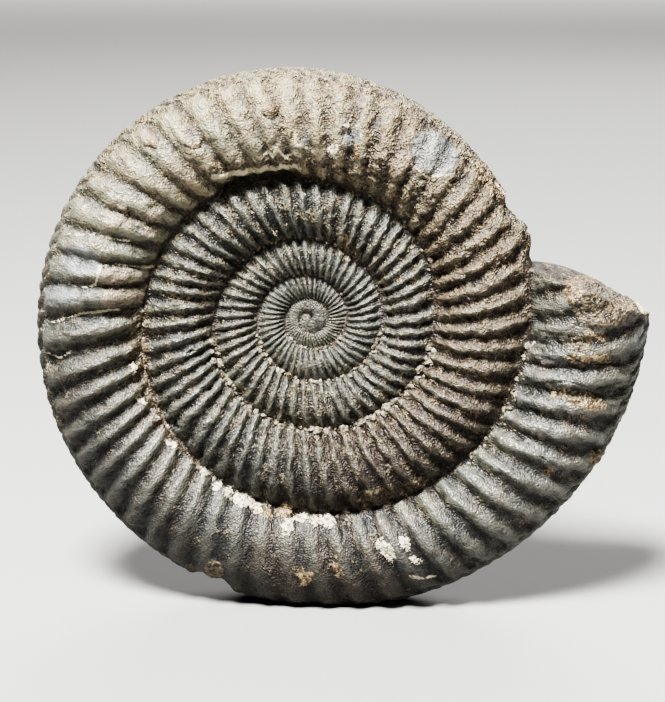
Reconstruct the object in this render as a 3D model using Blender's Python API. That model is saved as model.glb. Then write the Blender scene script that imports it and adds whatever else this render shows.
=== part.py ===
"""A coiled fossil shell, ribbed like a rope, standing upright on a small flat on its rim."""

import math

import bmesh
import bpy
import numpy as np
from mathutils import Vector
from mathutils.geometry import delaunay_2d_cdt

NODE = "ammonite"
MM = 0.001

# The coil lies in the XZ plane. Its angle grows anticlockwise seen from -Y, in degrees, with 0 along +X.
# The seam is the line where one whorl sits on the whorl inside it. Its radius at each eighth of a turn, mm:
SEAM_MM = (
    2.83, 2.97, 3.18, 3.49, 3.86, 4.35, 4.82, 5.31,
    5.84, 6.22, 6.82, 7.54, 8.22, 9.08, 9.88, 10.60,
    11.35, 11.90, 12.66, 13.63, 14.87, 16.40, 17.55, 18.35,
    19.56, 21.00, 22.35, 24.60, 26.15, 28.70, 30.85, 32.43, 34.05,
)
# The outer edge of the last whorl, at each eighth of a turn from its start, mm:
VENTER_MM = (35.19, 36.7, 39.0, 41.2, 43.3, 45.35, 47.5, 49.6, 52.9, 55.6)
TURN = 360.0
LAST_WHORL = 3 * TURN      # where the last whorl starts
BREAK_ANGLE = 14.0         # the mouth is broken off this far past the end of the last whorl
END = 4 * TURN + BREAK_ANGLE
BREAK_SLANT = 14.0         # the break runs back by this much from the seam to the outer edge
BREAK_HOLLOW_MM = 0.8
EMBRACE = 0.97             # a whorl reaches in over this share of the radius of the whorl inside it
BREADTH = 0.97             # breadth of a whorl over its height
SEAM_START = 16.0          # where a whorl leaves the seam, degrees round its section
POLE_MM = 0.9              # half thickness at the very centre

# Ribs: (angle along the coil, ribs passed there). Between these the ribs are evenly spaced.
RIB_COUNT = (
    (-720, -150), (-360, -98), (0, -46), (370.5, 0), (438, 9), (472.5, 14), (536, 22),
    (557.5, 25), (597, 30), (656.5, 38), (721, 47), (731, 48), (791, 57), (874.5, 69),
    (886, 71), (915.5, 75), (938, 79), (946, 80), (964, 83), (1041, 95), (1059, 98),
    (1120, 107), (1187, 117), (1239.5, 124), (1253, 126), (1271, 128), (1284, 130),
    (1300.5, 133), (1319, 136), (1398, 148), (1411, 150), (1441, 155), (1500, 165),
)
RIB_LEAN = 5.0             # a rib leans forward by this much from seam to shoulder, degrees
RIB_HEIGHT = 0.21          # from groove to crest, over the rib spacing
CREST_HALF = 0.18          # half of a rib's rounded top, over the rib spacing
SHOULDER = 0.90            # share of the flank where each rib splits in two

# Where the ribs are worn: (angle along the coil, half length, share of the height left).
WORN = ((1150.0, 26.0, 0.6), (1345.0, 19.0, 0.35), (1283.0, 12.0, 0.8))
# The gap under the broken shell edge above the middle: its angles on the last whorl, how far it runs
# under the edge, and the share of the flank that the edge overhangs.
GAP_FROM, GAP_TO = 92.0, 126.0
GAP_DEPTH_MM = 1.3
GAP_REACH = 0.09
# Chips out of the outer edge, and one lump on it: angle, half length in degrees, depth in mm.
CHIPS = ((250.0, 5.0, 1.3), (30.0, 3.5, 0.5), (22.0, 5.0, -0.9))

# How finely each stretch of the coil is cut into faces: (from, to) along the coil, degrees between
# points on its seam, lines along each rib as parts of the rib spacing, points along each line.
WHOLE_RIB = (-CREST_HALF, CREST_HALF, 0.5)
THIN_RIB = (0.0, 0.5)
FINENESS = (
    (-360.0, 0.0, 18.0, (), ()),
    (0.0, 360.0, 9.0, THIN_RIB, (0.25, 0.8)),
    (360.0, 720.0, 8.0, WHOLE_RIB, (0.2, 0.78)),
    (720.0, 1080.0, 7.2, WHOLE_RIB, (0.13, 0.48, 0.86)),
    (1080.0, 1454.0, 5.5, WHOLE_RIB, (0.1, 0.35, 0.6, 0.85)),
)
BULB_POINTS = ((-300.0, 0.5), (-210.0, 0.5), (-120.0, 0.5), (-40.0, 0.5))
FIRST_RIB = -46
VENTER_ROWS = 4
BREAK_ROWS = (0.0, 0.1, 0.35, 0.6, 0.85, 1.0)
FLAT_RADIUS_MM = 46.3      # the resting flat lies this far below the centre
FLAT_AHEAD_MM = 2.3        # and its middle this far ahead of the centre, along +X

SHARP_FROM = 60.0          # edges folded more than this stay sharp, such as the rim of the flat

STONE_COLOR = (0.10, 0.092, 0.080, 1.0)
STONE_ROUGHNESS = 0.42


def clear_scene():
    for obj in list(bpy.data.objects):
        bpy.data.objects.remove(obj, do_unlink=True)


def smooth(low, high, value):
    share = np.clip((value - low) / (high - low), 0.0, 1.0)
    return share * share * (3.0 - 2.0 * share)


def along_growth(values, step):
    """The radius this many steps along the values, smooth through them in its growth."""
    logs = np.log(np.array(values))
    slopes = np.gradient(logs)
    first = np.clip(np.floor(step).astype(int), 0, len(values) - 2)
    u = step - first
    start = logs[first] * (1 + 2 * u) * (1 - u) ** 2 + slopes[first] * u * (1 - u) ** 2
    end = logs[first + 1] * u * u * (3 - 2 * u) + slopes[first + 1] * u * u * (u - 1)
    return np.exp(start + end)


def seam_radius(phi):
    """Radius of the seam at an angle along the coil: nothing before the first chamber."""
    grown = along_growth(SEAM_MM, np.clip(phi, 0.0, 4 * TURN) / 45.0)
    first = SEAM_MM[0] * np.clip(phi / TURN + 1.0, 0.0, 1.0) ** 0.8
    late = EMBRACE * along_growth(VENTER_MM, np.clip(phi - 4 * TURN, 0.0, TURN) / 45.0)
    return np.where(phi < 0.0, first, np.where(phi > 4 * TURN, late, grown))


def venter_radius(phi):
    """Radius of the outer edge of the whorl at an angle along the coil."""
    last = along_growth(VENTER_MM, np.clip(phi - LAST_WHORL, 0.0, 405.0) / 45.0)
    return np.where(phi < LAST_WHORL, seam_radius(phi + TURN) / EMBRACE, last)


def section(phi):
    """Middle radius, half height and half breadth of the whorl."""
    inner, outer = seam_radius(phi), venter_radius(phi)
    half_height = (outer - inner) / 2
    return inner + half_height, half_height, BREADTH * half_height


def outer_seam_turn(phi):
    """Where the next whorl's seam lies round this section, in radians from its inner side."""
    middle, half_height, _ = section(phi)
    reach = (EMBRACE * venter_radius(phi) - middle) / np.maximum(half_height, 1e-6)
    return np.arccos(-np.clip(reach, -1.0, 1.0))


def seam_depth(phi):
    """Distance of the seam from the middle plane."""
    before = phi - TURN
    return np.hypot(POLE_MM, section(before)[2] * np.sin(outer_seam_turn(before)))


def ribs_passed(phi):
    angles, counts = zip(*RIB_COUNT)
    return np.interp(phi, angles, counts)


def rib_angle(count, across):
    """Where a rib, or a groove at half a count, crosses this share of the flank."""
    angles, counts = zip(*RIB_COUNT)
    return np.interp(count, counts, angles) + RIB_LEAN * (across - 0.5)


def in_the_open(phi):
    """1 where no later whorl covers the outer edge, 0 where one does."""
    return smooth(LAST_WHORL + BREAK_ANGLE - 8, LAST_WHORL + BREAK_ANGLE + 8, phi)


def rib_wave(phi, across):
    """Height of the ribs, 0 in a groove and 1 on a crest. Across is 0 at the seam and 1 at the next seam."""
    def ridge(count):
        away = np.abs(count - np.round(count))
        return 1 - smooth(CREST_HALF, 0.5, away)

    count = ribs_passed(phi - RIB_LEAN * (across - 0.5))
    single = ridge(count)
    split = ridge(2 * count - 0.5)
    share = smooth(SHOULDER - 0.08, SHOULDER + 0.08, across) * in_the_open(phi)
    return single * (1 - share) + split * share


def rib_height(phi, across):
    """Groove to crest, in mm: fading into the seam, lower where the shell is worn or young."""
    per_degree = (ribs_passed(phi + 2.0) - ribs_passed(phi - 2.0)) / 4.0
    spacing = np.radians(1.0 / per_degree) * section(phi)[0]
    height = RIB_HEIGHT * spacing * smooth(0.0, 0.1, across) * smooth(-90.0, 120.0, phi)
    height = height * (1 - 0.55 * smooth(SHOULDER - 0.1, SHOULDER + 0.1, across) * in_the_open(phi))
    for middle, half, left in WORN:
        near = 1 - smooth(0.5 * half, 1.2 * half, np.abs(phi - middle))
        height = height * (1 - (1 - left) * near)
    return height


def gap_depth(phi, across):
    """How far the wall at the seam is hollowed under the broken edge of the shell."""
    angle = phi - LAST_WHORL
    length = smooth(GAP_FROM, GAP_FROM + 6, angle) * (1 - smooth(GAP_TO - 6, GAP_TO, angle))
    return GAP_DEPTH_MM * length * (1 - smooth(0.0, GAP_REACH, across))


def surface(phi, across, side):
    """Points of the shell, mm. Across runs 0 to 1 over the flank and on to 2 at mid outer edge."""
    middle, half_height, half_breadth = section(phi)
    start, outer = math.radians(SEAM_START), outer_seam_turn(phi)
    flank = np.clip(across, 0.0, 1.0)
    turn = start + (outer - start) * flank + (math.pi - outer) * np.clip(across - 1.0, 0.0, 1.0)
    radius = middle - half_height * np.cos(turn)
    depth = half_breadth * np.sin(turn)
    # The ends are pulled onto the two seams, so that neighbouring whorls share them.
    at_start = (1 - flank) ** 2
    at_end = np.where(phi < LAST_WHORL, flank**4, 0.0)
    depth += at_start * (seam_depth(phi) - half_breadth * math.sin(start))
    depth += at_end * (seam_depth(phi + TURN) - half_breadth * np.sin(outer))
    radius += at_start * (seam_radius(phi) - middle + half_height * math.cos(start))

    fade = np.where(phi < LAST_WHORL + BREAK_ANGLE, 1 - smooth(0.92, 1.0, across), 1.0)
    low = rib_height(phi, across) * (1.0 - rib_wave(phi, across)) * fade
    for angle, half, deep in CHIPS:
        away = np.abs(phi - LAST_WHORL - angle)
        low += deep * smooth(0.75, 1.25, across) * (1 - smooth(0.4 * half, half, away))
    if side < 0:
        low += gap_depth(phi, across)
    radius = radius + low * np.cos(turn)
    depth = depth - low * np.sin(turn)
    angle = np.radians(phi)
    return np.stack([radius * np.cos(angle), side * depth, radius * np.sin(angle)], axis=-1)


def break_angle(across):
    """Where the broken mouth crosses the last whorl: further back towards the outer edge."""
    start, outer = math.radians(SEAM_START), outer_seam_turn(np.array([END]))[0]
    turn = start + (outer - start) * np.clip(across, 0.0, 1.0)
    return END - BREAK_SLANT * (math.cos(start) - np.cos(turn)) / 2


def venter_columns():
    """Angles of the steps round the outer edge: at the split ribs and the grooves between them."""
    first, last = LAST_WHORL + BREAK_ANGLE, break_angle(1.0)
    quarter_ribs = np.arange(4 * math.floor(ribs_passed(first)), 4 * RIB_COUNT[-1][1])
    angles = rib_angle(quarter_ribs / 4, 1.0)
    inside = angles[(angles > first + 0.8) & (angles < last - 0.8)]
    return np.concatenate([[first], inside, [last]])


def flank_layout():
    """Points (angle along the coil, across) of one side and the lines of them that stay edges."""
    points, lines = [], []

    def add_line(pairs):
        lines.append(range(len(points), len(points) + len(pairs)))
        points.extend(pairs)

    seam = [(-TURN, 0.0)]
    for start, stop, step, _, _ in FINENESS:
        steps = round((stop - start) / step)
        seam += [(start + (stop - start) * (i + 1) / steps, 0.0) for i in range(steps)]
    # The seam ends where the outer edge of the last whorl comes out from under it.
    add_line(seam[:-1])
    add_line([(angle, 1.0) for angle in venter_columns()])
    edge = [(float(break_angle(row)), row) for row in BREAK_ROWS[-2:0:-1]]
    add_line(edge)
    seam_end, edge_start, edge_end = lines[0][-1], lines[1][0], lines[1][-1]
    joins = [(seam_end, edge_start), (edge_end, lines[2][0]), (lines[2][-1], edge_start)]

    for start, stop, _, parts, rows in FINENESS:
        for rib in range(FIRST_RIB, RIB_COUNT[-1][1]):
            for part in parts:
                run = [(float(rib_angle(rib + part, row)), row) for row in rows]
                run = [(angle, row) for angle, row in run
                       if start <= angle < stop and angle < break_angle(row) - 1.5]
                if run:
                    add_line(run)
    points.extend(BULB_POINTS)
    return points, lines, joins


def add_flanks(bm):
    """Both sides, from one triangulation of their layout laid flat."""
    points, lines, joins = flank_layout()
    phi, across = np.array(points).T
    inner = seam_radius(phi)
    radius = inner + across * (EMBRACE * venter_radius(phi) - inner)
    flat = [Vector(pair) for pair in zip(radius * np.cos(np.radians(phi)), radius * np.sin(np.radians(phi)))]
    edges = joins + [pair for line in lines for pair in zip(line[:-1], line[1:])]
    cut = delaunay_2d_cdt(flat, edges, [], 1, 1e-5)
    origin = [sources[0] for sources in cut[3]]
    for side in (-1, 1):
        verts = [bm.verts.new(point * MM) for point in surface(phi, across, side)[origin]]
        for corners in cut[2]:
            bm.faces.new([verts[i] for i in corners[::-side]])


def venter_point(column, row):
    """A point of the outer edge: column is an angle, row runs 0 to 1 from the front to the back."""
    across = 2 - np.abs(2 * row - 1)
    return np.where((row < 0.5)[:, None], surface(column, across, -1), surface(column, across, 1))


def break_point(column, row):
    """A point of the broken mouth, spanning the last section and the outer edge of the whorl inside it."""
    def arc(angle, share):
        return venter_point(np.full_like(share, angle), share)

    def side_edge(share, side):
        return surface(break_angle(share), share, side)

    first, last = LAST_WHORL + BREAK_ANGLE, break_angle(1.0)
    u, v = column[:, None], row[:, None]
    ends = (1 - v) * arc(first, column) + v * arc(last, column)
    sides = (1 - u) * side_edge(row, -1) + u * side_edge(row, 1)
    zero, one = np.zeros(1), np.ones(1)
    corners = ((1 - u) * (1 - v) * arc(first, zero) + u * (1 - v) * arc(first, one)
               + (1 - u) * v * arc(last, zero) + u * v * arc(last, one))
    points = ends + sides - corners
    points[:, 2] -= BREAK_HOLLOW_MM * np.sin(np.pi * column) * np.sin(np.pi * row)
    return points


def add_sheet(bm, columns, rows, place):
    """A grid whose corners are moved to place(column, row), for the given columns and rows."""
    columns, rows = np.array(columns), np.array(rows)
    made = bmesh.ops.create_grid(bm, x_segments=len(columns) - 1, y_segments=len(rows) - 1, size=0.5)["verts"]
    at = np.array([(v.co.x + 0.5, v.co.y + 0.5) for v in made])
    column = columns[np.round(at[:, 0] * (len(columns) - 1)).astype(int)]
    row = rows[np.round(at[:, 1] * (len(rows) - 1)).astype(int)]
    for vert, point in zip(made, place(column, row)):
        vert.co = point * MM


def build_shell():
    bm = bmesh.new()
    add_flanks(bm)
    venter_rows = np.linspace(0.0, 1.0, VENTER_ROWS + 1)
    add_sheet(bm, venter_columns(), venter_rows, venter_point)
    add_sheet(bm, venter_rows, BREAK_ROWS, break_point)
    bmesh.ops.remove_doubles(bm, verts=bm.verts, dist=2e-6)
    bmesh.ops.translate(bm, verts=bm.verts, vec=(-FLAT_AHEAD_MM * MM, 0, FLAT_RADIUS_MM * MM))
    bmesh.ops.triangulate(bm, faces=bm.faces)
    return bm


def grind_flat(bm):
    """The small resting flat at z = 0."""
    everything = bm.verts[:] + bm.edges[:] + bm.faces[:]
    bmesh.ops.bisect_plane(bm, geom=everything, plane_co=(0, 0, 0), plane_no=(0, 0, -1), clear_outer=True)
    rim = [edge for edge in bm.edges if edge.is_boundary]
    bmesh.ops.holes_fill(bm, edges=rim, sides=0)
    bmesh.ops.triangulate(bm, faces=bm.faces)
    bmesh.ops.recalc_face_normals(bm, faces=bm.faces)


def stone_material():
    material = bpy.data.materials.new("stone")
    material.use_nodes = True
    shader = material.node_tree.nodes["Principled BSDF"]
    shader.inputs["Base Color"].default_value = STONE_COLOR
    shader.inputs["Roughness"].default_value = STONE_ROUGHNESS
    shader.inputs["Metallic"].default_value = 0.0
    return material


clear_scene()
collection = bpy.data.collections.new("ammonite_fossil")
bpy.context.scene.collection.children.link(collection)
shell = build_shell()
grind_flat(shell)
mesh = bpy.data.meshes.new(NODE)
shell.to_mesh(mesh)
mesh.materials.append(stone_material())
mesh.shade_smooth()
mesh.set_sharp_from_angle(angle=math.radians(SHARP_FROM))
collection.objects.link(bpy.data.objects.new(NODE, mesh))
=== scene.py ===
"""The finished look of a coiled ammonite fossil that stands on its rim."""

import math

import bmesh
import bpy
import numpy as np
from mathutils import Euler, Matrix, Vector, noise


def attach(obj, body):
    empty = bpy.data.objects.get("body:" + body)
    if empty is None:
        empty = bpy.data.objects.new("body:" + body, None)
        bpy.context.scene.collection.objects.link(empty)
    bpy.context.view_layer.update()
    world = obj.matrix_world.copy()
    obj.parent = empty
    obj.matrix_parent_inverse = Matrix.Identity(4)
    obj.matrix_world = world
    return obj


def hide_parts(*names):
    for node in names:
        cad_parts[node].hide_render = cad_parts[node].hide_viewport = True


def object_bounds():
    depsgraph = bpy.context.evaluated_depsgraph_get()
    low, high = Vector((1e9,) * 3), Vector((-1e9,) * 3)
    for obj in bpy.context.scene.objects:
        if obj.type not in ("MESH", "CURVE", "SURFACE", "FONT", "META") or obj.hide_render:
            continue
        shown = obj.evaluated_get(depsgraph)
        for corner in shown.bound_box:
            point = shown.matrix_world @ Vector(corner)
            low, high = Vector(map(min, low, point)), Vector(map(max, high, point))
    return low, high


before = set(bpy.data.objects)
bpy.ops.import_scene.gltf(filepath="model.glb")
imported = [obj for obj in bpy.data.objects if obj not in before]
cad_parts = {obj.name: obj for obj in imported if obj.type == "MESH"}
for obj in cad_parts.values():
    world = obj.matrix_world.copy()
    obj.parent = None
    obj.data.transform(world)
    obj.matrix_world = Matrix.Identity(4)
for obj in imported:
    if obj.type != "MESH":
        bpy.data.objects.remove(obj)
solid_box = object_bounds()


# The place where the fossil is looked at: a pale table, a soft lamp high up to the left with weaker ones
# to the right and behind, and a camera a little above the fossil's middle. The table top is at height 0,
# where the ground flat rests.
MM = 0.001
SPIRAL_CENTRE = Vector((-2.3, 0.0, 46.3)) * MM
CAMERA_AZIMUTH = math.radians(4.0)
CAMERA_HEIGHT = math.radians(11.5)
CAMERA_DISTANCE = 0.314
# Where the camera aims, from the spiral's centre as the camera sees it.
AIM_RIGHT, AIM_UP = 3.47 * MM, -5.34 * MM
PICTURE_HEIGHT = 702
FOCAL_PIXELS = 2000.0
SENSOR_MM = 36.0

to_camera = Vector((
    math.sin(CAMERA_AZIMUTH) * math.cos(CAMERA_HEIGHT),
    -math.cos(CAMERA_AZIMUTH) * math.cos(CAMERA_HEIGHT),
    math.sin(CAMERA_HEIGHT),
))
camera_place = SPIRAL_CENTRE + CAMERA_DISTANCE * to_camera
right = Vector((0, 0, 1)).cross(to_camera).normalized()
up = to_camera.cross(right)
aim = SPIRAL_CENTRE + AIM_RIGHT * right + AIM_UP * up

camera = bpy.data.objects.new("camera", bpy.data.cameras.new("camera"))
camera.data.lens = SENSOR_MM * FOCAL_PIXELS / PICTURE_HEIGHT
camera.data.sensor_width = SENSOR_MM
camera.data.clip_start = 0.01
camera.location = camera_place
camera.rotation_euler = (camera_place - aim).to_track_quat("Z", "Y").to_euler()
bpy.context.scene.collection.objects.link(camera)
bpy.context.scene.camera = camera


def soft_lamp(name, azimuth, height, distance, size, watts):
    """A square lamp aimed at the fossil. The azimuth runs from the front to the right, in degrees."""
    turn, lift = math.radians(azimuth), math.radians(height)
    toward = Vector((math.sin(turn) * math.cos(lift), -math.cos(turn) * math.cos(lift), math.sin(lift)))
    light = bpy.data.lights.new(name, "AREA")
    light.size = size
    light.energy = watts
    lamp = bpy.data.objects.new(name, light)
    lamp.location = SPIRAL_CENTRE + distance * toward
    lamp.rotation_euler = toward.to_track_quat("Z", "Y").to_euler()
    bpy.context.scene.collection.objects.link(lamp)


soft_lamp("key_lamp", -18.0, 60.0, 0.9, 0.24, 38.0)
soft_lamp("side_lamp", 70.0, 30.0, 1.1, 0.4, 1.5)
soft_lamp("back_lamp", 165.0, 40.0, 1.2, 0.8, 9.0)
# One more hangs over the far end of the table, and leaves no glint on the fossil.
far_light = bpy.data.lights.new("far_lamp", "AREA")
far_light.size = 3.0
far_light.energy = 400.0
far_lamp = bpy.data.objects.new("far_lamp", far_light)
far_lamp.location = (0.0, 4.5, 2.2)
far_lamp.visible_glossy = False
bpy.context.scene.collection.objects.link(far_lamp)

world = bpy.data.worlds.new("room")
world.use_nodes = True
world.node_tree.nodes["Background"].inputs["Color"].default_value = (0.80, 0.82, 0.85, 1.0)
world.node_tree.nodes["Background"].inputs["Strength"].default_value = 0.05
bpy.context.scene.world = world
bpy.context.scene.view_settings.look = "AgX - Very High Contrast"


def surface_object(name, bm, material):
    """A finished mesh as an object at the origin."""
    mesh = bpy.data.meshes.new(name)
    bm.to_mesh(mesh)
    bm.free()
    mesh.materials.append(material)
    made = bpy.data.objects.new(name, mesh)
    bpy.context.scene.collection.objects.link(made)
    return made


table_finish = bpy.data.materials.new("pale_table")
table_finish.use_nodes = True
table_shader = table_finish.node_tree.nodes["Principled BSDF"]
table_shader.inputs["Base Color"].default_value = (0.27, 0.266, 0.26, 1.0)
table_shader.inputs["Roughness"].default_value = 0.8

TABLE_HALF_WIDTH = 8.0
bm = bmesh.new()
bmesh.ops.create_grid(bm, x_segments=1, y_segments=1, size=TABLE_HALF_WIDTH)
surface_object("table", bm, table_finish)


# The coil itself. A Dactylioceras grew as one tube wound flat on itself, a little wider at each turn,
# with ribs like a rope's strands. The tube filled with mud that set hard, and its shell turned to stone.
# Lengths are in mm from the spiral's centre. The coil's angle is in degrees, 0 towards the right. It grows
# anticlockwise as the camera sees it, and runs on from whorl to whorl.
TURN = 360.0
# Radius of the seam at every eighth of a turn, and of the outer edge along the last whorl. Both come from
# readings made on the photograph. A program turned the seam's into mm by undoing the camera's view,
# and the outer edge's were corrected one by one until its outline agreed.
EIGHTH = TURN / 8
SEAM_MM = (
    2.83, 2.97, 3.18, 3.49, 3.86, 4.35, 4.82, 5.31,
    5.84, 6.22, 6.82, 7.54, 8.22, 9.08, 9.88, 10.60,
    11.35, 11.90, 12.66, 13.63, 14.87, 16.40, 17.55, 18.35,
    19.56, 21.00, 22.35, 24.60, 26.15, 28.70, 30.85, 32.43, 34.05,
)
VENTER_MM = (35.19, 36.7, 39.0, 41.2, 43.3, 45.35, 47.5, 49.6, 52.9, 55.6)
LAST_WHORL = 3 * TURN
BREAK_ANGLE = 14.0
END = 4 * TURN + BREAK_ANGLE
BREAK_SLANT = 14.0
BREAK_HOLLOW_MM = 0.8
EMBRACE = 0.97
BREADTH = 0.97
SEAM_START = 16.0
# Half the thickness left at the very centre.
POLE_MM = 0.9

# Angle along the coil and ribs passed there. The crests were read off the photograph, then turned
# into angles along the coil and thinned out by a program.
RIB_COUNT = (
    (-1080, -202), (-720, -150), (-360, -98), (0, -46), (370.5, 0), (438, 9), (472.5, 14), (536, 22),
    (557.5, 25), (597, 30), (656.5, 38), (721, 47), (731, 48), (791, 57), (874.5, 69),
    (886, 71), (915.5, 75), (938, 79), (946, 80), (964, 83), (1041, 95), (1059, 98),
    (1120, 107), (1187, 117), (1239.5, 124), (1253, 126), (1271, 128), (1284, 130),
    (1300.5, 133), (1319, 136), (1398, 148), (1411, 150), (1441, 155), (1500, 165),
)
RIB_LEAN = 5.0
SHOULDER = 1.02
RIB_HEIGHT = 0.32
RIB_WOBBLE = 0.11
# Angle along the coil, share of the full rib height, and sharpness: under 1 for broad ribs with narrow
# grooves, over 1 for thin ribs with wide troughs.
RIB_LOOK = (
    (-720, 0.8, 1.0), (0, 1.0, 1.2), (720, 1.0, 1.2), (1000, 1.0, 1.1), (1040, 1.0, 1.5), (1080, 1.0, 1.4),
    (1100, 0.9, 1.1), (1120, 0.75, 0.9), (1135, 0.55, 0.8), (1160, 0.55, 0.7), (1180, 0.62, 0.6),
    (1215, 0.8, 0.6), (1250, 1.0, 0.7), (1268, 1.0, 1.3), (1290, 0.9, 1.2), (1310, 0.8, 1.0),
    (1325, 0.4, 1.0), (1345, 0.3, 1.0), (1362, 0.55, 1.2), (1380, 0.85, 1.1), (1410, 1.0, 1.1),
    (1430, 0.9, 0.8), (1442, 0.5, 0.8), (1460, 0.4, 0.8),
)
GAP_FROM, GAP_TO = 93.0, 126.0
GAP_LIFT_MM = 0.7
GAP_DEPTH_MM = 1.7
# Chips in the outer edge: angle along the last whorl, half width in degrees, depth in mm. One is a lump.
CHIPS = ((250.0, 5.0, 1.3), (30.0, 3.5, 0.5), (22.0, 5.0, -0.9))


def smooth(low, high, value):
    share = np.clip((value - low) / (high - low), 0.0, 1.0)
    return share * share * (3.0 - 2.0 * share)


def along_growth(values, step):
    """The radius this many steps along the values, smooth through them in its growth."""
    logs = np.log(np.array(values))
    slopes = np.gradient(logs)
    first = np.clip(np.floor(step).astype(int), 0, len(values) - 2)
    u = step - first
    start = logs[first] * (1 + 2 * u) * (1 - u) ** 2 + slopes[first] * u * (1 - u) ** 2
    end = logs[first + 1] * u * u * (3 - 2 * u) + slopes[first + 1] * u * u * (u - 1)
    return np.exp(start + end)


def seam_radius(phi):
    """Radius of the line where a whorl sits on the whorl inside it."""
    grown = along_growth(SEAM_MM, np.clip(phi, 0.0, 4 * TURN) / EIGHTH)
    first = SEAM_MM[0] * np.clip(phi / TURN + 1.0, 0.0, 1.0) ** 0.8
    late = EMBRACE * along_growth(VENTER_MM, np.clip(phi - 4 * TURN, 0.0, TURN) / EIGHTH)
    return np.where(phi < 0.0, first, np.where(phi > 4 * TURN, late, grown))


def venter_radius(phi):
    """Radius of the outer edge of a whorl."""
    last = along_growth(VENTER_MM, np.clip(phi - LAST_WHORL, 0.0, 9 * EIGHTH) / EIGHTH)
    return np.where(phi < LAST_WHORL, seam_radius(phi + TURN) / EMBRACE, last)


def section(phi):
    """Middle radius, half height and half breadth of the whorl."""
    inner, outer = seam_radius(phi), venter_radius(phi)
    half_height = (outer - inner) / 2
    return inner + half_height, half_height, BREADTH * half_height


def outer_seam_turn(phi):
    """Where the next whorl's seam lies round this section, in radians from its inner side."""
    middle, half_height, _ = section(phi)
    reach = (EMBRACE * venter_radius(phi) - middle) / np.maximum(half_height, 1e-6)
    return np.arccos(-np.clip(reach, -1.0, 1.0))


def seam_depth(phi):
    """Distance of the seam from the middle plane."""
    before = phi - TURN
    return np.hypot(POLE_MM, section(before)[2] * np.sin(outer_seam_turn(before)))


def ribs_passed(phi):
    angles, counts = zip(*RIB_COUNT)
    return np.interp(phi, angles, counts)


def in_the_open(phi):
    """1 where no later whorl covers the outer edge, 0 where one does."""
    return smooth(LAST_WHORL + BREAK_ANGLE - 8, LAST_WHORL + BREAK_ANGLE + 8, phi)


def rib_wave(phi, across, wobble):
    """Height of the ribs, 0 in a groove and 1 on a crest. Each rib splits in two at the shoulder."""
    angles, _, sharpness = zip(*RIB_LOOK)
    sharp = np.interp(phi, angles, sharpness)

    def ridge(count):
        away = np.abs(count - np.round(count))
        return (0.5 + 0.5 * np.cos(2 * math.pi * away)) ** sharp

    count = ribs_passed(phi - RIB_LEAN * (across - 0.5)) + wobble
    split_share = smooth(SHOULDER - 0.08, SHOULDER + 0.08, across) * in_the_open(phi)
    return ridge(count) * (1 - split_share) + ridge(2 * count - 0.5) * split_share


def rib_height(phi, across):
    """Groove to crest, in mm: fading into the seam and lower on the outer edge."""
    angles, shares, _ = zip(*RIB_LOOK)
    per_degree = (ribs_passed(phi + 2.0) - ribs_passed(phi - 2.0)) / 4.0
    spacing = np.radians(1.0 / per_degree) * section(phi)[0]
    height = RIB_HEIGHT * spacing * smooth(0.0, 0.1, across) * smooth(-330.0, -60.0, phi)
    height *= 1 - 0.55 * smooth(SHOULDER - 0.1, SHOULDER + 0.1, across) * in_the_open(phi)
    return height * np.interp(phi, angles, shares)


def grain(points, size, octaves=2):
    """Lumpy noise about as coarse as size, in mm, between about -1 and 1."""
    return np.array([noise.fractal(Vector(point) / size, 1.0, 2.0, octaves) for point in points])


def gap_share(phi):
    """1 along the stretch where the broken shell edge stands clear of the whorl inside it."""
    angle = phi - LAST_WHORL
    return smooth(GAP_FROM, GAP_FROM + 6, angle) * (1 - smooth(GAP_TO - 6, GAP_TO, angle))


# How rough the skin is: angle along the coil, height of its lumps in mm. The sizes of the lumps and of the
# worn pits between them are in mm, and the pits' depth is a share of the lumps' height.
BROAD_LUMP_MM, CLOSE_LUMP_MM, UNEVEN_CREST_MM, PIT_MM = 2.4, 0.8, 1.8, 1.6
PIT_DEPTH = 1.6
SKIN_ROUGHNESS = (
    (-720, 0.03), (-200, 0.04), (0, 0.08), (360, 0.10), (720, 0.15), (1080, 0.18), (1120, 0.26),
    (1150, 0.22), (1180, 0.13), (1230, 0.12), (1262, 0.08), (1290, 0.05), (1330, 0.05), (1400, 0.05),
    (1424, 0.12), (1460, 0.16),
)


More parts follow.
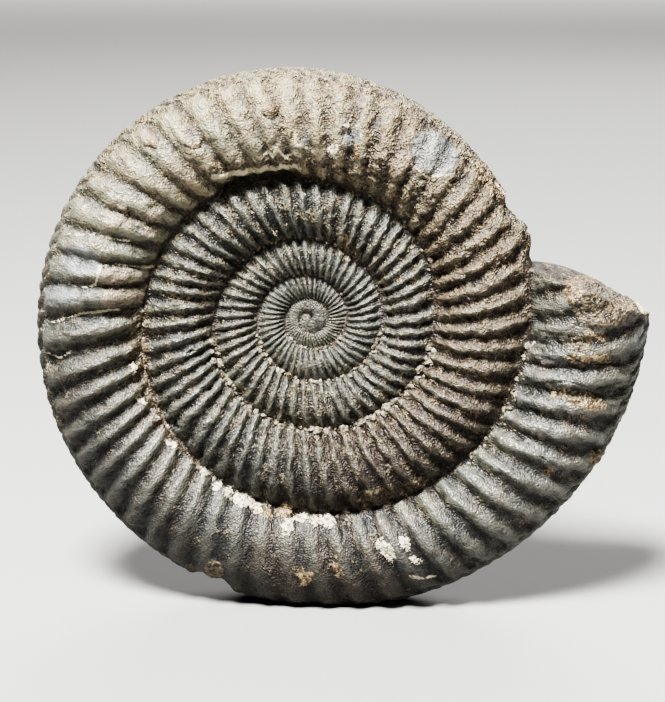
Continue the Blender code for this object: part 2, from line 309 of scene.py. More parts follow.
def shape(phi, across, side):
    """Points of the shell in mm, and how high on a rib each is: 0 in a groove and 1 on a crest.
    Across runs 0 to 1 over the flank and on to 2 at mid outer edge."""
    middle, half_height, half_breadth = section(phi)
    start, outer = math.radians(SEAM_START), outer_seam_turn(phi)
    flank = np.clip(across, 0.0, 1.0)
    turn = start + (outer - start) * flank + (math.pi - outer) * np.clip(across - 1.0, 0.0, 1.0)
    radius = middle - half_height * np.cos(turn)
    depth = half_breadth * np.sin(turn)
    # Where a whorl is covered by the next, its far edge is drawn onto the seam that they share.
    covered = 1 - smooth(LAST_WHORL + BREAK_ANGLE, LAST_WHORL + BREAK_ANGLE + 6, phi)
    at_start = (1 - flank) ** 2
    at_end = flank**4 * covered * np.clip(2.0 - across, 0.0, 1.0)
    depth += at_start * (seam_depth(phi) - half_breadth * math.sin(start))
    depth += at_end * (seam_depth(phi + TURN) - half_breadth * np.sin(outer))
    radius += at_start * (seam_radius(phi) - middle + half_height * math.cos(start))

    # The skin's own lumps die away at the seams, where two whorls share their points.
    angle = np.radians(phi)
    plain = np.stack([radius * np.cos(angle), side * depth, radius * np.sin(angle)], axis=-1)
    fade = 1 - covered * smooth(0.92, 1.0, across)
    broad, close = grain(plain, BROAD_LUMP_MM, 3), grain(plain, CLOSE_LUMP_MM, 2)
    lumps = np.interp(phi, *zip(*SKIN_ROUGHNESS))
    crest = rib_wave(phi, across, RIB_WOBBLE * np.clip(lumps / 0.15, 0.25, 1.0) * (broad + close))
    uneven = 1 + 0.35 * grain(plain + 40.0, UNEVEN_CREST_MM, 2)
    low = rib_height(phi, across) * (1.0 - crest * np.clip(uneven, 0.3, 1.0)) * fade
    for angle_of, half, deep in CHIPS:
        away = np.abs(phi - LAST_WHORL - angle_of)
        low += deep * smooth(0.75, 1.25, across) * (1 - smooth(0.4 * half, half, away))
    pits = smooth(0.22, 0.5, grain(plain + 80.0, PIT_MM, 2)) * smooth(0.0, 0.1, across)
    low += PIT_DEPTH * lumps * pits * fade
    low += lumps * smooth(0.0, 0.08, across) * fade * (0.75 - 0.8 * broad - 0.6 * close)

    radius = radius + low * np.cos(turn)
    depth = depth - low * np.sin(turn)
    if side < 0:
        rise = smooth(0.0, 0.02, across) * (1 - smooth(0.05, 0.25, across))
        under = smooth(0.0, 0.02, across) * (1 - smooth(0.03, 0.048, across))
        radius = radius + gap_share(phi) * GAP_LIFT_MM * rise
        depth = depth - gap_share(phi) * GAP_DEPTH_MM * under
    points = np.stack([radius * np.cos(angle), side * depth, radius * np.sin(angle)], axis=-1)
    return points, crest * fade * smooth(0.0, 0.06, across)


def surface(phi, across, side):
    return shape(phi, across, side)[0]


def break_angle(across):
    """Where the broken mouth crosses the last whorl: further back towards the outer edge."""
    start, outer = math.radians(SEAM_START), outer_seam_turn(np.array([END]))[0]
    turn = start + (outer - start) * np.clip(across, 0.0, 1.0)
    return END - BREAK_SLANT * (math.cos(start) - np.cos(turn)) / 2


# The skin is laid out as flat strips, a turn of the coil each, that are then wound into place.
# For each side: where the strip starts, its columns in a full turn and its rows from seam to seam.
FRONT_STRIPS = (
    (-720, 120, 10), (-360, 360, 10), (0, 360, 10), (360, 720, 20), (720, 720, 20), (1080, 720, 40),
)
BACK_STRIPS = (
    (-720, 45, 5), (-360, 180, 5), (0, 360, 10), (360, 360, 10), (720, 360, 10), (1080, 360, 20),
)
FRONT_EDGE_ROWS, BACK_EDGE_ROWS = 12, 6
SLANT_FROM = 1424.0
# Each point keeps where it lies on the coil and how high on a rib. The mouth's broken face is given one
# place of its own beyond the coil's end.
SKIN_LAYERS = ("along", "across", "side", "crest")
MOUTH_VALUES = (1500.0, 0.5, -1.0, 0.6)
MOUTH_LUMP_MM = 2.5
WELD = 2e-6


def flat_grid(bm, columns, rows, low, high, side):
    """A flat grid of points: x is the angle along the coil, y runs across, and z is the side."""
    made = bmesh.ops.create_grid(bm, x_segments=columns, y_segments=rows, size=0.5)["verts"]
    for vert in made:
        u, v = vert.co.x + 0.5, vert.co.y + 0.5
        vert.co = (low[0] + u * (high[0] - low[0]), low[1] + v * (high[1] - low[1]), side)
    return made


def cut_border(bm, low, high, cuts):
    """Cuts the edges between two corners of the layout into as many parts as the finer strip beside has."""
    def on_border(vert):
        return all(a - 1e-3 <= value <= b + 1e-3 for a, value, b in zip(low, vert.co, high))

    if cuts > 0:
        border = [edge for edge in bm.edges if on_border(edge.verts[0]) and on_border(edge.verts[1])]
        bmesh.ops.subdivide_edges(bm, edges=border, cuts=cuts)


def lay_side(bm, strips, edge_rows, side):
    for i, (start, columns, rows) in enumerate(strips[:-1]):
        stop = start + TURN
        flat_grid(bm, columns, rows, (start, 0.0), (stop, 1.0), side)
        next_columns, next_rows = strips[i + 1][1:]
        cut_border(bm, (start, 1.0, side), (stop, 1.0, side), next_columns // columns - 1)
        cut_border(bm, (stop, 0.0, side), (stop, 1.0, side), next_rows // rows - 1)
    columns, rows = strips[-1][1:]
    open_from = LAST_WHORL + BREAK_ANGLE
    flat_grid(bm, round((END - LAST_WHORL) / TURN * columns), rows, (LAST_WHORL, 0.0), (END, 1.0), side)
    flat_grid(bm, columns, edge_rows, (open_from, 1.0), (END, 2.0), side)
    if side > 0:
        cut_border(bm, (END, 0.0, side), (END, 1.0, side), FRONT_STRIPS[-1][2] // rows - 1)
        cut_border(bm, (open_from, 2.0, side), (END, 2.0, side), FRONT_STRIPS[-1][1] // columns - 1)


def wind_skin():
    """Both sides laid flat, then every point moved to its place on the coil."""
    bm = bmesh.new()
    lay_side(bm, FRONT_STRIPS, FRONT_EDGE_ROWS, -1)
    lay_side(bm, BACK_STRIPS, BACK_EDGE_ROWS, 1)
    flat = np.array([vert.co for vert in bm.verts], dtype=float)
    phi, across, side = flat.T
    reach = (break_angle(np.minimum(across, 1.0)) - SLANT_FROM) / (END - SLANT_FROM)
    phi = np.where(phi > SLANT_FROM, SLANT_FROM + (phi - SLANT_FROM) * reach, phi)
    place, crest = np.empty_like(flat), np.empty_like(phi)
    for which in (-1, 1):
        on = side == which
        place[on], crest[on] = shape(phi[on], across[on], which)
    layers = [bm.verts.layers.float.new(name) for name in SKIN_LAYERS]
    for vert, point, values in zip(bm.verts, place, zip(phi, across, side, crest)):
        vert.co = point * MM
        for layer, value in zip(layers, values):
            vert[layer] = value
    return bm


def edge_point(angle, share):
    """A point round the outer edge: share runs 0 to 1 from the front shoulder to the back one."""
    across = 2 - np.abs(2 * share - 1)
    front = surface(angle, across, -1)
    back = surface(angle, across, 1)
    return np.where((share < 0.5)[:, None], front, back)


def close_mouth(bm):
    """The rough broken mouth, spanned between the last section and the whorl inside it."""
    columns = np.concatenate([
        np.arange(FRONT_EDGE_ROWS) / (2 * FRONT_EDGE_ROWS),
        0.5 + np.arange(BACK_EDGE_ROWS + 1) / (2 * BACK_EDGE_ROWS),
    ])
    rows = FRONT_STRIPS[-1][2]
    made = flat_grid(bm, len(columns) - 1, rows, (0.0, 0.0), (1.0, 1.0), 0.0)
    flat = np.array([vert.co for vert in made], dtype=float)
    column = columns[np.round(flat[:, 0] * (len(columns) - 1)).astype(int)]
    row = flat[:, 1]
    u, v = column[:, None], row[:, None]
    first, last = LAST_WHORL + BREAK_ANGLE, float(break_angle(1.0))

    def arc(angle, share):
        return edge_point(np.full_like(share, angle), share)

    ends = (1 - v) * arc(first, column) + v * arc(last, column)
    sides = (1 - u) * surface(break_angle(row), row, -1) + u * surface(break_angle(row), row, 1)
    zero, one = np.zeros_like(row), np.ones_like(row)
    corners = ((1 - u) * (1 - v) * arc(first, zero) + u * (1 - v) * arc(first, one)
               + (1 - u) * v * arc(last, zero) + u * v * arc(last, one))
    points = ends + sides - corners
    inside = np.sin(np.pi * column) * np.sin(np.pi * row)
    points[:, 2] -= inside * (BREAK_HOLLOW_MM - 0.8 * grain(points, MOUTH_LUMP_MM, 3))
    layers = [bm.verts.layers.float[name] for name in SKIN_LAYERS]
    for vert, point in zip(made, points):
        vert.co = point * MM
        for layer, value in zip(layers, MOUTH_VALUES):
            vert[layer] = value


bm = wind_skin()
close_mouth(bm)
bmesh.ops.remove_doubles(bm, verts=bm.verts, dist=WELD)
bmesh.ops.translate(bm, verts=bm.verts, vec=SPIRAL_CENTRE)
bmesh.ops.recalc_face_normals(bm, faces=bm.faces)


# What lies on the shell: a crust of white and cream lime along the lower seam, rusty spots, brown rock
# that filled the seam, and thin broken edges of flaked shell. All of it is stuck fast and stands a little
# proud. Each mark is placed by its angle in degrees and distance in mm from the spiral's centre, as seen
# from the camera. Ovals: angle, distance, half length outwards in mm, half width along the coil in mm.
LIME_OVALS = (
    (235.5, 29.4, 0.7, 1.0), (241, 30.0, 1.2, 0.7), (245, 30.3, 0.8, 0.7), (249.5, 30.7, 1.2, 1.7),
    (253.5, 31.0, 0.8, 1.4), (263.5, 32.9, 1.7, 0.8), (267.5, 31.6, 0.7, 1.0), (271.5, 31.9, 1.1, 1.2),
    (275, 32.2, 1.2, 1.1), (288, 39.1, 2.2, 0.8), (287, 37.4, 0.8, 1.0), (292.2, 38.6, 1.3, 0.9),
    (293.2, 41.6, 0.9, 0.7), (81.7, 26.3, 1.4, 0.8), (113, 14.3, 0.5, 0.4), (196, 28.9, 0.6, 0.9),
    (206, 29.6, 0.5, 0.8), (223, 29.6, 0.5, 1.1),
)
RUST_OVALS = (
    (257.5, 31.1, 1.0, 1.3), (262, 31.0, 1.3, 1.6), (74, 26.7, 1.5, 0.6), (87.5, 27.5, 0.5, 0.5),
    (268.5, 41.0, 1.4, 1.2), (275.8, 39.4, 1.6, 0.6), (343, 44.7, 4.5, 1.2), (351, 43.2, 3.5, 0.9),
    (37, 35.5, 1.6, 3.6), (100.5, 33.1, 0.8, 1.4), (123, 32.4, 0.7, 1.3), (132, 36.7, 0.6, 1.0),
    (327, 45.1, 1.1, 0.8), (66, 13.8, 0.5, 0.5), (356, 44.8, 1.6, 0.8), (6, 41.5, 1.6, 1.8),
    (8, 44.5, 2.6, 1.0), (2, 49.8, 2.0, 1.0), (351.5, 45.5, 2.6, 0.8), (334, 50.5, 1.2, 1.6),
)
EARTH_OVALS = (
    (4, 46.0, 5.6, 5.2), (354, 42.5, 2.2, 1.4), (59, 11.8, 1.7, 2.0), (66, 25.6, 1.8, 3.2),
    (48, 26.5, 1.8, 2.2), (290, 30.0, 1.6, 3.2), (302, 31.2, 1.0, 3.2), (249, 42.6, 1.8, 1.6),
)
BLUE_OVALS = (
    (53, 32.2, 3.4, 4.3), (166, 37.0, 3.5, 2.5), (175, 39.0, 3.0, 2.0), (91.5, 27.9, 2.0, 0.8),
    (77, 28.8, 1.8, 1.6), (356, 52.2, 1.2, 3.0),
)
FLAKE_OVALS = (
    (171.5, 29.8, 3.9, 4.0), (152, 34.6, 2.2, 2.6), (100.7, 33.7, 2.0, 1.4), (123.3, 34.0, 2.0, 1.8),
    (131.6, 37.6, 1.7, 1.6), (60, 27.6, 2.4, 3.0), (150, 28.6, 1.6, 2.2),
)
# Lines: half width in mm, then the angle and distance of each bend.
EDGE_LINES = (
    (0.30, (94, 23.5), (96, 23.9), (98, 23.7), (100.5, 24.1), (103, 23.8), (106, 24.4)),
    (0.36, (106, 24.4), (109, 24.2), (112, 24.9), (115, 24.9), (118, 25.6), (121, 25.8), (124.5, 26.7)),
    (0.17, (106.7, 26.2), (104.3, 26.8), (103, 25.8), (101.1, 26.9), (99.5, 25.6), (96.6, 24.7)),
    (0.15, (291, 43.7), (293, 44.8), (296, 45.2)),
    (0.6, (14, 44.6), (9, 48.0), (4, 51.0), (1, 52.6)),
    (0.15, (170.7, 33.9), (166.3, 33.9), (164.7, 31.4), (163.6, 27.8), (162, 25.9)),
    (0.13, (172.6, 36.4), (171.9, 34.6), (171.2, 33.9)),
    (0.13, (181.1, 40.5), (179, 36.0), (177.6, 29.9)),
    (0.13, (187.3, 41.9), (189.1, 39.7), (188.1, 38.0)),
    (0.13, (161.1, 40.3), (158.7, 35.9), (158, 32.7), (157.1, 30.7)),
    (0.15, (94.5, 29.8), (94.8, 27.0), (91, 26.6)),
    (0.15, (80, 30.4), (76, 30.8), (73.5, 29.0)),
    (0.13, (45, 35.0), (38, 35.8), (32, 36.2)),
    (0.13, (46, 31.0), (50, 28.6), (58, 29.0)),
)
EARTH_LINES = (
    (1.7, (180, 26.6), (190, 27.4), (200, 28.2)),
    (1.2, (200, 28.2), (215, 28.9)),
    (0.6, (215, 28.9), (235, 29.5)),
    (1.0, (95, 24.8), (110, 25.6), (124, 27.4)),
    (0.7, (60, 24.0), (90, 24.4)),
)
CRACK_LINES = (
    (0.16, (103.2, 33.2), (102.3, 32.0), (100.7, 31.6), (99.2, 32.0)),
    (0.14, (126.2, 33.4), (124.5, 32.0), (121.5, 32.2)),
    (0.14, (134, 37.5), (132.5, 36.0), (129.8, 36.6)),
    (0.12, (154.5, 33.2), (151, 32.3), (148.5, 33.6)),
    (0.12, (166.5, 33.6), (165, 31.4), (164, 27.8)),
    (0.12, (72, 27.0), (66, 28.6), (60, 30.4)),
    (0.10, (344, 38.0), (346, 42.0), (345.5, 46.0), (348, 50.0)),
    (0.10, (352, 40.0), (350, 44.0), (351, 48.0)),
    (0.09, (303.5, 41.1), (304.4, 41.6), (303.5, 42.2), (302.6, 41.6), (303.5, 41.1)),
    (0.09, (312, 44.8), (312.8, 45.4), (312, 46.0), (311.2, 45.4), (312, 44.8)),
    (0.09, (323, 39.9), (323.9, 40.5), (323, 41.1), (322.1, 40.5), (323, 39.9)),
)
LIME_THICK_MM, EARTH_THICK_MM, FLAKE_THICK_MM = 0.35, 0.30, 0.40
CRACK_DEEP_MM = 0.2
CRUST_LUMP_MM = 0.7
# The depth, in mm, given to a point that is far outside every mark.
FAR_OFF = -3.0


def as_seen(points):
    """Where points lie as the camera sees them, in mm right and up from the spiral's centre."""
    from_camera = points - np.array(camera_place)
    scale = CAMERA_DISTANCE / -(from_camera @ np.array(to_camera)) / MM
    return (from_camera @ np.array(right)) * scale, (from_camera @ np.array(up)) * scale


def mark_depth(seen, ovals, lines=()):
    """How far inside the nearest mark a point is, in mm; less than 0 outside them all."""
    x, y = seen
    angle, radius = np.degrees(np.arctan2(y, x)), np.hypot(x, y)
    deepest = np.full_like(x, FAR_OFF)
    for at, distance, half_out, half_along in ovals:
        sideways = np.radians((angle - at + 180.0) % TURN - 180.0) * distance
        ring = np.hypot((radius - distance) / half_out, sideways / half_along)
        deepest = np.maximum(deepest, (1 - ring) * min(half_out, half_along))
    for half_width, *bends in lines:
        corners = [distance * np.exp(1j * math.radians(at)) for at, distance in bends]
        for start, end in zip(corners, corners[1:]):
            share = np.clip(((x + 1j * y - start) * np.conj(end - start)).real / abs(end - start) ** 2, 0, 1)
            deepest = np.maximum(deepest, half_width - abs(x + 1j * y - start - share * (end - start)))
    return deepest


shown_verts = [vert for vert in bm.verts if vert.normal.y < 0]
shown_points = np.array([vert.co for vert in shown_verts])
marks_seen = as_seen(shown_points)
rise = LIME_THICK_MM * smooth(-0.1, 0.3, mark_depth(marks_seen, LIME_OVALS))
rise += EARTH_THICK_MM * smooth(-0.1, 0.5, mark_depth(marks_seen, RUST_OVALS + EARTH_OVALS, EARTH_LINES))
rise += FLAKE_THICK_MM * smooth(-0.05, 0.2, mark_depth(marks_seen, FLAKE_OVALS, EDGE_LINES))
rise *= 0.7 + 0.5 * grain(shown_points / MM, CRUST_LUMP_MM, 2)
rise -= CRACK_DEEP_MM * smooth(-0.15, 0.05, mark_depth(marks_seen, (), CRACK_LINES))
for vert, risen in zip(shown_verts, rise):
    vert.co += vert.normal * float(risen) * MM
    # Nothing stands out past the solid's own box.
    vert.co.y = max(vert.co.y, solid_box[0][1])

# The ground flat, cut level at height 0.
everything = bm.verts[:] + bm.edges[:] + bm.faces[:]
bmesh.ops.bisect_plane(bm, geom=everything, plane_co=(0, 0, 0), plane_no=(0, 0, -1), clear_outer=True)
bmesh.ops.holes_fill(bm, edges=[edge for edge in bm.edges if edge.is_boundary], sides=0)
bmesh.ops.triangulate(bm, faces=bm.faces)
bmesh.ops.recalc_face_normals(bm, faces=bm.faces)


# The finish of the stone. The shell is grey and satin where it is worn smooth, with a painted silvery sheen
# on its crests, painted near black as shade in its grooves, cream and granular along the top, and crusted
# with lime and rust in patches.
class Finish:
    """A material whose pattern is written as sums of wires."""

    def __init__(self, name):
        self.material = bpy.data.materials.new(name)
        self.material.use_nodes = True
        self.tree = self.material.node_tree
        self.shader = self.tree.nodes["Principled BSDF"]

    def node(self, kind, inputs, settings=None, output=0):
        made = self.tree.nodes.new(kind)
        for name, value in (settings or {}).items():
            setattr(made, name, value)
        for name, value in inputs.items():
            self.feed(made.inputs[name], value)
        return Wire(self, made.outputs[output])

    def feed(self, socket, value):
        if isinstance(value, Wire):
            self.tree.links.new(value.socket, socket)
        else:
            socket.default_value = value

    def attribute(self, name):
        """A number that the mesh carries at each point."""
        return self.node("ShaderNodeAttribute", {}, {"attribute_name": name}, "Fac")

    def noise(self, place, size, detail=3.0, rough=0.5):
        """Cloudy noise with lumps about as large as size."""
        inputs = {"Vector": place, "Scale": 1.0 / size, "Detail": detail, "Roughness": rough}
        return self.node("ShaderNodeTexNoise", inputs)

    def mix(self, low, high, share):
        """A colour from low to high by a share from 0 to 1."""
        low, high = (colour if isinstance(colour, Wire) else (*colour, 1.0) for colour in (low, high))
        return self.node("ShaderNodeMix", {0: share, 6: low, 7: high}, {"data_type": "RGBA"}, 2)

    def cover(self, under, colours, shade, share):
        """A colour laid over another by a share. It runs from its dark to its light one by a shade."""
        return self.mix(under, self.mix(*colours, shade), share)


class Wire:
    """A number that varies over a surface. Sums written with it become Math nodes."""

    def __init__(self, finish, socket):
        self.finish = finish
        self.socket = socket

    def math(self, operation, *values):
        return self.finish.node("ShaderNodeMath", dict(enumerate(values)), {"operation": operation})

    def __add__(self, other):
        return self.math("ADD", self, other)

    def __radd__(self, other):
        return self.math("ADD", other, self)

    def __sub__(self, other):
        return self.math("SUBTRACT", self, other)

    def __rsub__(self, other):
        return self.math("SUBTRACT", other, self)

    def __mul__(self, other):
        return self.math("MULTIPLY", self, other)

    def __rmul__(self, other):
        return self.math("MULTIPLY", other, self)

    def __truediv__(self, other):
        return self.math("DIVIDE", self, other)

    def between(self, low, high):
        """0 below low, 1 above high and smooth from one to the other."""
        inputs = {"Value": self, "From Min": low, "From Max": high}
        return self.finish.node("ShaderNodeMapRange", inputs, {"interpolation_type": "SMOOTHSTEP"})


# Tones along the coil: angle, how pale, how warm, how silvery, and how crusted the shell is there.
TONES = (
    (-720, 0.48, 0.35, 0.7, 0.15), (-360, 0.34, 0.35, 0.7, 0.3), (-120, 0.44, 0.30, 0.7, 0.2),
    (60, 0.40, 0.25, 0.8, 0.1), (360, 0.38, 0.25, 0.8, 0.2), (540, 0.40, 0.35, 0.7, 0.3),
    (720, 0.37, 0.45, 0.7, 0.35), (765, 0.38, 0.40, 0.6, 0.35), (810, 0.33, 0.25, 0.6, 0.4),
    (900, 0.36, 0.40, 0.6, 0.4), (960, 0.34, 0.25, 0.9, 0.3), (1000, 0.28, 0.70, 0.6, 0.4),
    (1040, 0.32, 0.95, 0.5, 0.45), (1080, 0.38, 1.00, 0.4, 0.4), (1110, 0.52, 0.70, 0.3, 0.5),
    (1130, 0.55, 0.55, 0.3, 0.6), (1150, 0.68, 0.60, 0.2, 0.6), (1175, 0.75, 0.55, 0.15, 0.45),
    (1200, 0.70, 0.50, 0.2, 0.35), (1230, 0.62, 0.35, 0.4, 0.2), (1255, 0.50, 0.25, 0.6, 0.1),
    (1275, 0.42, 0.45, 0.6, 0.25), (1300, 0.42, 0.30, 0.8, 0.05), (1330, 0.23, 0.40, 0.3, 0.15),
    (1360, 0.23, 0.50, 0.3, 0.2), (1380, 0.36, 0.30, 0.7, 0.1), (1410, 0.38, 0.30, 0.9, 0.15),
    (1430, 0.30, 0.40, 0.7, 0.2), (1445, 0.34, 0.40, 0.6, 0.25), (1460, 0.36, 0.45, 0.5, 0.3),
    (1480, 0.14, 0.75, 0.0, 0.55), (1500, 0.14, 0.75, 0.0, 0.55),
)
# How far the darker colour reaches from the seams: angle along the coil, mm.
SEAM_DARK_REACH = (
    (-720, 2.6), (-90, 2.4), (30, 1.3), (1040, 1.6), (1090, 1.7), (1110, 2.8), (1150, 3.2), (1180, 2.4),
    (1240, 2.2), (1270, 1.6), (1460, 1.4),
)
# How much darker the outer half of the whorl is painted at the bottom, where it faces down: painted shade,
# with some of the stone's own dark olive. Angle along the coil, share.
RIM_PAINTED_SHADE = (
    (940, 0.0), (965, 0.6), (1015, 0.7), (1045, 0.2), (1060, 0.0), (1235, 0.0), (1265, 0.45),
    (1290, 0.7), (1315, 0.95), (1365, 0.95), (1392, 0.4), (1425, 0.05), (1454, 0.1), (1470, 0.0),
)
# How much more crusted the open outer edge is.
EDGE_CRUST = 0.32


def dress(piece):
    """Gives each point of the skin the numbers that its finish is drawn from."""
    mesh = piece.data

    def read(name):
        values = np.empty(len(mesh.vertices), dtype=np.float32)
        mesh.attributes[name].data.foreach_get("value", values)
        return values.astype(float)

    def write(name, values):
        mesh.attributes.new(name, "FLOAT", "POINT").data.foreach_set("value", values.astype(np.float32))

    points = np.empty(len(mesh.vertices) * 3, dtype=np.float32)
    mesh.vertices.foreach_get("co", points)
    points = points.reshape(-1, 3).astype(float)
    along, across, side = read("along"), read("across"), read("side")
    covered = 1 - smooth(LAST_WHORL + BREAK_ANGLE, LAST_WHORL + BREAK_ANGLE + 6, along)
    height = (venter_radius(along) - seam_radius(along)) * 1.15
    from_seam = np.minimum(across * height, np.where(covered > 0.5, 1.8 * (1 - across) * height, 9.0))
    reach = np.interp(along, *zip(*SEAM_DARK_REACH)) * np.clip(seam_radius(along) / 20.0, 0.25, 1.0)
    write("near_seam", 1 - np.clip(from_seam / reach, 0.0, 1.0))
    # The outer half of the whorl at the bottom, where it faces down, is painted darker as shade.
    write("rim", np.interp(along, *zip(*RIM_PAINTED_SHADE)) * smooth(0.15, 0.75, across))
    angles, *tones = zip(*TONES)
    edge_crust = smooth(0.9, 1.05, across) * (1 - covered) * (1 - smooth(1270, 1300, along))
    for name, values in zip(("pale", "warm", "silver", "crust"), tones):
        extra = EDGE_CRUST * edge_crust if name == "crust" else 0.0
        write(name, np.interp(along, angles, values) + extra)
    seen = as_seen(points)
    for name, ovals, lines in (
        ("lime", LIME_OVALS, ()), ("rust", RUST_OVALS, ()), ("blue", BLUE_OVALS, ()),
        ("flake", FLAKE_OVALS, ()), ("earth", EARTH_OVALS, EARTH_LINES),
        ("edge", (), EDGE_LINES), ("crack", (), CRACK_LINES),
    ):
        write(name, np.where(side < 0, mark_depth(seen, ovals, lines), FAR_OFF))


# Colours of the shell in linear red, green and blue: dark grey, dark brown, pale grey and pale brown.
CREST_COLOURS = (
    (0.040, 0.040, 0.032), (0.045, 0.034, 0.022), (0.264, 0.252, 0.164), (0.275, 0.216, 0.125),
)
# The grooves' colours: darker copies of the crests' colours, painted in as shade.
GROOVE_SHADE_COLOURS = (
    (0.007, 0.007, 0.0055), (0.018, 0.0095, 0.0055), (0.11, 0.103, 0.078), (0.13, 0.092, 0.053),
)
# A pale cool grey painted on polished crests as a silvery sheen.
SILVER_SHEEN_COLOUR = (0.20, 0.215, 0.215)
# The darker and the lighter colour of what stains it or lies on it. Worn, bluish and flaked places take the
# darker one in the grooves and hollows, as painted shade.
WORN_COLOURS = ((0.016, 0.011, 0.008), (0.17, 0.13, 0.085))
CRUMB_COLOURS = ((0.05, 0.033, 0.020), (0.28, 0.24, 0.145))
SEAM_DARK_COLOURS = ((0.018, 0.013, 0.009), (0.10, 0.07, 0.04))
BLUE_COLOURS = ((0.07, 0.073, 0.072), (0.19, 0.20, 0.195))
FLAKE_COLOURS = ((0.07, 0.05, 0.038), (0.26, 0.205, 0.145))
EARTH_COLOURS = ((0.03, 0.021, 0.013), (0.17, 0.135, 0.085))
RUST_COLOURS = ((0.05, 0.033, 0.018), (0.28, 0.208, 0.112))
LIME_COLOURS = ((0.15, 0.12, 0.075), (0.48, 0.44, 0.33))
EDGE_COLOUR = (0.48, 0.435, 0.30)
CRACK_COLOUR = (0.012, 0.010, 0.008)
# Sizes of the mottling, in mm. Fine streaks run outwards too, about 200 in a turn: their noise is read
# round a ring of this radius.
CLOUD_MM, WORN_MM, BLOTCH_MM, FINE_MM, GRIT_MM = 5.0, 2.6, 1.8, 0.55, 0.28
STREAK_RING = 34.0
STREAK_LENGTH_MM = 3.0
RELIEF_MM = 1.2


def stone_finish():
    stone = Finish("fossil_stone")
    place = stone.node("ShaderNodeTexCoord", {}, output="Object")
    mm = stone.node("ShaderNodeVectorMath", {0: place, "Scale": 1 / MM}, {"operation": "SCALE"})
    apart = stone.node("ShaderNodeSeparateXYZ", {0: mm})
    x = Wire(stone, apart.socket.node.outputs["X"]) - SPIRAL_CENTRE.x / MM
    z = Wire(stone, apart.socket.node.outputs["Z"]) - SPIRAL_CENTRE.z / MM
    radius = stone.node("ShaderNodeMath", {0: x * x + z * z}, {"operation": "SQRT"}) + 0.01
    ray = stone.node("ShaderNodeCombineXYZ", {
        0: x / radius * STREAK_RING, 1: z / radius * STREAK_RING, 2: radius / STREAK_LENGTH_MM})

    cloud = stone.noise(mm, CLOUD_MM)
    blotch = stone.noise(mm, BLOTCH_MM, 1.5, 0.5)
    fine = stone.noise(mm, FINE_MM, 1.0, 0.6)
    grit = stone.noise(mm, GRIT_MM, 0.0)
    # The streaks fade away towards the centre, where they would all meet.
    streak = 0.5 + (stone.noise(ray, 1.0, 2.0, 0.6) - 0.5) * radius.between(1.5, 5.0)

    crest, near_seam = stone.attribute("crest"), stone.attribute("near_seam")
    pale, warm = stone.attribute("pale"), stone.attribute("warm")
    silver, crust = stone.attribute("silver"), stone.attribute("crust")
    rim = stone.attribute("rim")

    # One relief gives both the bumps and the darker colour painted in their hollows as shade. Crusted places
    # are gritty.
    blue = (stone.attribute("blue") + 0.6 * (blotch - 0.5)).between(-0.3, 0.8)
    gritty = (crust - 0.8 * blue + 1.4 * (cloud - 0.5) + 0.3 * (0.6 - crest)).between(0.1, 0.9)
    smooth_relief = 0.34 * (streak - 0.5) + 0.14 * (blotch - 0.5) + 0.16 * (grit - 0.5)
    rough_relief = 0.34 * (blotch - 0.5) + 0.26 * (fine - 0.5) + 0.16 * (grit - 0.5)
    relief = smooth_relief + gritty * rough_relief
    # How lit each point is painted: 1 on crests and bump tops, 0 in the grooves and hollows painted in
    # shade.
    top = (0.5 * crest + 3.6 * relief + 0.2).between(0.08, 0.8)

    # The shell itself: painted dark in the grooves and in the bumps' hollows as shade, light on the crests,
    # and stained where it is worn.
    # The outer half at the bottom is painted darker as shade and gets no painted sheen there.
    paleness = ((pale + 0.4 * (cloud - 0.5)) * (1 - rim)).between(0.0, 1.0)
    hue = (warm + 0.9 * (cloud - 0.5) + 0.6 * (blotch - 0.5)).between(0.15, 0.85)
    light = stone.mix(
        stone.mix(*CREST_COLOURS[:2], hue), stone.mix(*CREST_COLOURS[2:], hue), paleness)
    dark = stone.mix(
        stone.mix(*GROOVE_SHADE_COLOURS[:2], hue), stone.mix(*GROOVE_SHADE_COLOURS[2:], hue), paleness * paleness)
    worn = (stone.noise(mm, WORN_MM, 2.0, 0.6) + 0.5 * (crust - 0.35)).between(0.55, 0.68)
    colour = stone.mix(dark, light, top)
    # Worn patches also run from dark in the painted shade to light on the crests.
    colour = stone.cover(colour, WORN_COLOURS, top * pale.between(0.2, 0.7), worn * 0.55)
    # Polish: the crests are smoother and a little metallic there, and a silvery sheen is painted on them.
    polish_and_sheen = top * silver * (1 - 0.8 * worn)
    colour = stone.mix(colour, SILVER_SHEEN_COLOUR, polish_and_sheen * 0.35 * (1 - rim))

    # Crumbs of rock stuck to it, a darker colour near the seams, bluish and flaked places, and brown rock.
    crumbs = (0.8 * crust + 1.6 * (fine - 0.5) + 2.2 * (blotch - 0.5) - 0.25 * crest).between(0.40, 0.7)
    colour = stone.cover(colour, CRUMB_COLOURS, grit.between(0.3, 0.7), crumbs * 0.75 * (1 - 0.6 * rim))
    rough_edge = 1.3 * (blotch - 0.5) + 0.8 * (fine - 0.5)
    # This darkens the colour near the seams, a little more in the grooves.
    seam_darkening = (near_seam + 0.8 * rough_edge - 0.25 * crest).between(0.25, 0.7)
    colour = stone.cover(colour, SEAM_DARK_COLOURS, fine.between(0.45, 0.7), seam_darkening * 0.85)
    # The bluish and flaked places are also painted darker in the grooves and hollows, as shade.
    colour = stone.cover(colour, BLUE_COLOURS, top, blue * 0.7)
    flake = (stone.attribute("flake") + 0.3 * rough_edge).between(-0.05, 0.3)
    colour = stone.cover(colour, FLAKE_COLOURS, top, flake * 0.55)
    earth = (stone.attribute("earth") + rough_edge).between(-0.1, 0.3)
    colour = stone.cover(colour, EARTH_COLOURS, fine.between(0.4, 0.65), earth * 0.9)

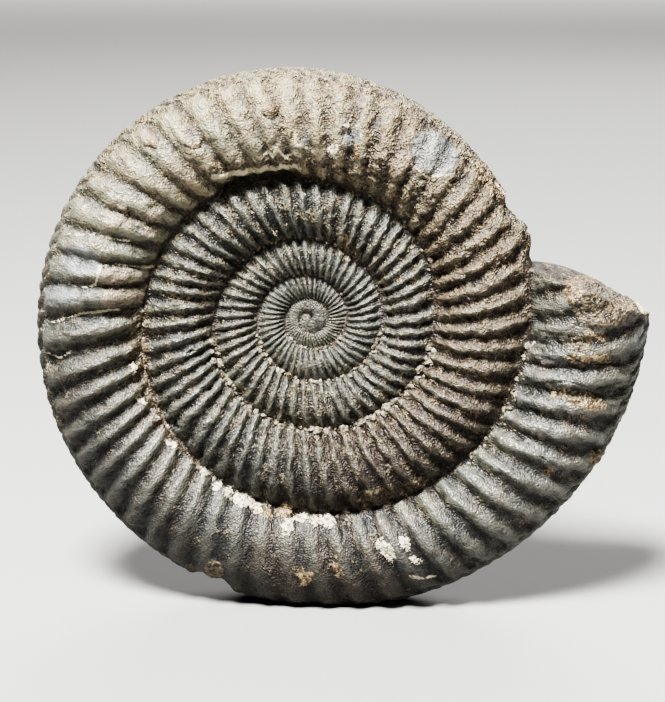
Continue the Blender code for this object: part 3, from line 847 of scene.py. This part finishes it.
    # Rust and lime end raggedly, and the broken shell edges and cracks are drawn last.
    ragged = 2.2 * (blotch - 0.5) + 1.6 * (fine - 0.5) + 0.6 * (grit - 0.5)
    rust = (stone.attribute("rust") + ragged).between(-0.1, 0.35)
    colour = stone.cover(colour, RUST_COLOURS, fine.between(0.35, 0.65), rust * 0.9)
    lime = (stone.attribute("lime") + 0.7 * ragged).between(-0.1, 0.08)
    colour = stone.cover(colour, LIME_COLOURS, (0.6 * fine + 0.4 * grit).between(0.38, 0.54), lime)
    edge = (stone.attribute("edge") + 0.22 * ragged).between(-0.12, 0.05)
    colour = stone.mix(colour, EDGE_COLOUR, edge * 0.85)
    crack = stone.attribute("crack").between(-0.12, 0.02)
    colour = stone.mix(colour, CRACK_COLOUR, crack * 0.8)
    stone.feed(stone.shader.inputs["Base Color"], colour)

    roughness = 0.52 - 0.18 * polish_and_sheen + 0.2 * (fine - 0.5) + 0.2 * lime + 0.25 * rim
    stone.feed(stone.shader.inputs["Roughness"], roughness)
    stone.feed(stone.shader.inputs["Metallic"], polish_and_sheen * 0.2)
    stone.shader.inputs["Specular IOR Level"].default_value = 0.6
    height = relief + 0.15 * crumbs + 0.2 * lime
    bump = stone.node("ShaderNodeBump", {"Height": height, "Strength": 1.0, "Distance": RELIEF_MM * MM})
    stone.feed(stone.shader.inputs["Normal"], bump)
    return stone.material


skin = surface_object("shell", bm, stone_finish())
skin.data.shade_smooth()
dress(skin)
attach(skin, "root")
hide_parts("ammonite")

# Crumbs of lime and rock in the inner seams, a few at the foot of each rib. They grew there and are packed
# tight into the seam, each a few tenths of a millimetre of whitish stone.
# Angle along the coil from and to, size in mm, and crumbs to a rib.
CRUMB_ROWS = (
    (215, 330, 0.34, 5.0), (560, 710, 0.55, 4.5), (910, 1070, 0.90, 4.0), (1255, 1300, 0.70, 4.0),
    (1310, 1356, 0.60, 3.0), (1398, 1434, 0.80, 4.0), (1105, 1165, 0.55, 2.5), (780, 860, 0.45, 2.0),
    (20, 200, 0.15, 0.6), (400, 540, 0.25, 0.6), (730, 780, 0.4, 1.0),
)
BROWN_CRUMB_COLOURS = ((0.06, 0.045, 0.03), (0.26, 0.21, 0.14))
WHITE_CRUMB_COLOUR = (0.27, 0.25, 0.20)
CRUMB_PATCH_MM, CRUMB_SPECK_MM, CRUMB_RELIEF_MM = 0.9, 0.3, 0.3
crumb_finish = Finish("seam_crumb")
crumb_place = crumb_finish.node("ShaderNodeTexCoord", {}, output="Object")
patches = crumb_finish.noise(crumb_place, CRUMB_PATCH_MM * MM, 2.0)
specks = crumb_finish.noise(crumb_place, CRUMB_SPECK_MM * MM, 1.0)
brown = crumb_finish.mix(*BROWN_CRUMB_COLOURS, patches.between(0.35, 0.6))
whiteness = (0.5 * patches + 0.5 * specks).between(0.45, 0.56)
crumb_colour = crumb_finish.mix(brown, WHITE_CRUMB_COLOUR, whiteness)
crumb_finish.feed(crumb_finish.shader.inputs["Base Color"], crumb_colour)
crumb_finish.feed(crumb_finish.shader.inputs["Roughness"], 0.55 + 0.3 * (specks - 0.5))
crumb_bump = crumb_finish.node("ShaderNodeBump", {
    "Height": specks + patches, "Strength": 1.0, "Distance": CRUMB_RELIEF_MM * MM})
crumb_finish.feed(crumb_finish.shader.inputs["Normal"], crumb_bump)

draw = np.random.default_rng(7)
bm = bmesh.new()
for start, stop, size, to_a_rib in CRUMB_ROWS:
    first, last = ribs_passed(np.array([start, stop]))
    count = round((last - first) * to_a_rib)
    crumb_angles = np.linspace(start, stop, count) + draw.normal(0.0, 1.2, count)
    spots = surface(crumb_angles, np.clip(draw.normal(0.03, 0.035, count), 0.0, 0.14), -1) * MM
    # Each row is made by itself, which is much quicker than adding crumbs to one growing mesh.
    row = bmesh.new()
    for spot in spots:
        large = size * min(1.0, draw.lognormal(-0.7, 0.4)) * MM
        grown = bmesh.ops.create_icosphere(row, subdivisions=1, radius=large)
        stretch = Vector(draw.uniform(0.6, 1.5, 3))
        turned = Euler(draw.uniform(0.0, 6.3, 3))
        sunk = Vector(spot) + SPIRAL_CENTRE + Vector((0.0, 0.25 * large, 0.0))
        for vert in grown["verts"]:
            vert.co = vert.co * stretch * draw.uniform(0.75, 1.2)
            vert.co.rotate(turned)
            vert.co += sunk
    packed = bpy.data.meshes.new("crumb_row")
    row.to_mesh(packed)
    row.free()
    bm.from_mesh(packed)
    bpy.data.meshes.remove(packed)
bmesh.ops.recalc_face_normals(bm, faces=bm.faces)
crumbs = surface_object("seam_crumbs", bm, crumb_finish.material)
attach(crumbs, "root")
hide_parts("ammonite")
